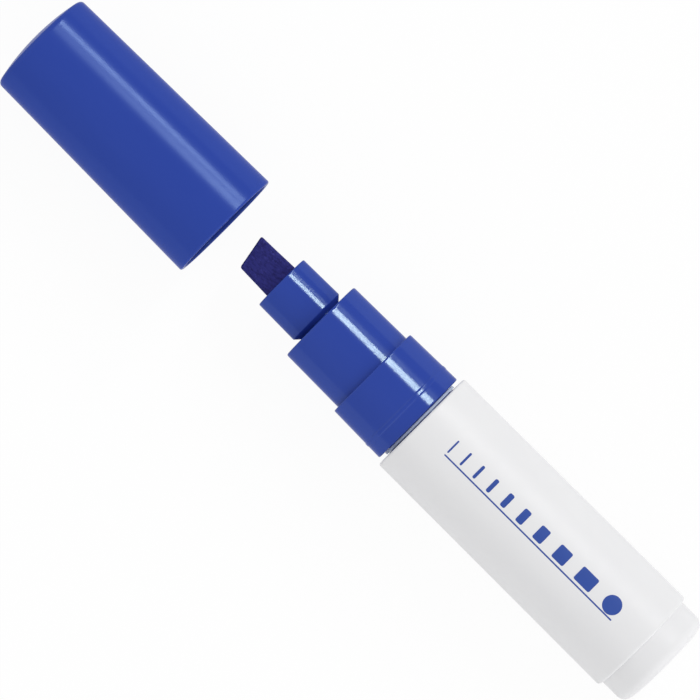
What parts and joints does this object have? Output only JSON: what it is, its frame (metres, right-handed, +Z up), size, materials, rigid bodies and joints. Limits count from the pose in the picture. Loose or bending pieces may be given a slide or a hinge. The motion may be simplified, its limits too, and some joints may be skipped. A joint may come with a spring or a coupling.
{
  "type": "paint marker",
  "caption": "Broad paint marker with a slanted chisel nib, a white reservoir barrel, a stepped blue front that holds a spring valve, and a blue pull-off cap laid in line.",
  "frame": {"origin": "on the surface the marker lies on, under the middle of its length with the cap off", "axes": "+X along the marker's axis towards its rear end, nib and cap towards -X, +Y across the nib's wide side, +Z up"},
  "size_m": [0.1848, 0.026, 0.026],
  "materials": {
    "cap_blue": "satin blue moulded plastic",
    "front_blue": "glossy blue moulded plastic",
    "barrel_white": "satin white moulded plastic",
    "inner_plastic": "natural unpainted plastic",
    "nib_fibre": "dense pressed fibre soaked with dark blue paint",
    "seal_rubber": "soft rubber",
    "gasket_white": "soft white sealing rubber",
    "spring_steel": "drawn steel wire",
    "ball_steel": "polished steel"
  },
  "bodies": {
    "marker": {"barrel": "barrel_white", "rear_plug": "barrel_white", "front_collar": "front_blue", "neck_gasket": "gasket_white", "nose_section": "front_blue", "nib_sleeve": "front_blue", "spring_cage": "inner_plastic", "return_spring": "spring_steel"},
    "cap": {"cap_shell": "cap_blue", "inner_cap": "inner_plastic"},
    "nib": {"nib": "nib_fibre", "valve_stem": "inner_plastic", "valve_seal": "seal_rubber"},
    "ball_1": {"mixing_ball_1": "ball_steel"},
    "ball_2": {"mixing_ball_2": "ball_steel"}
  },
  "joints": [
    {"name": "cap_slide", "type": "slide", "parent": "marker", "child": "cap", "axis": [1, 0, 0], "range_m": [0, 0.0572]},
    {"name": "nib_press", "type": "slide", "parent": "marker", "child": "nib", "axis": [1, 0, 0], "range_m": [0, 0.002], "stiffness_N_per_m": 800, "springref_m": -0.001, "deforming": ["return_spring"]},
    {"name": "ball_1_run", "type": "slide", "parent": "marker", "child": "ball_1", "axis": [1, 0, 0], "range_m": [-0.0142, 0.0284]},
    {"name": "ball_2_run", "type": "slide", "parent": "marker", "child": "ball_2", "axis": [1, 0, 0], "range_m": [-0.0284, 0.0142]}
  ]
}
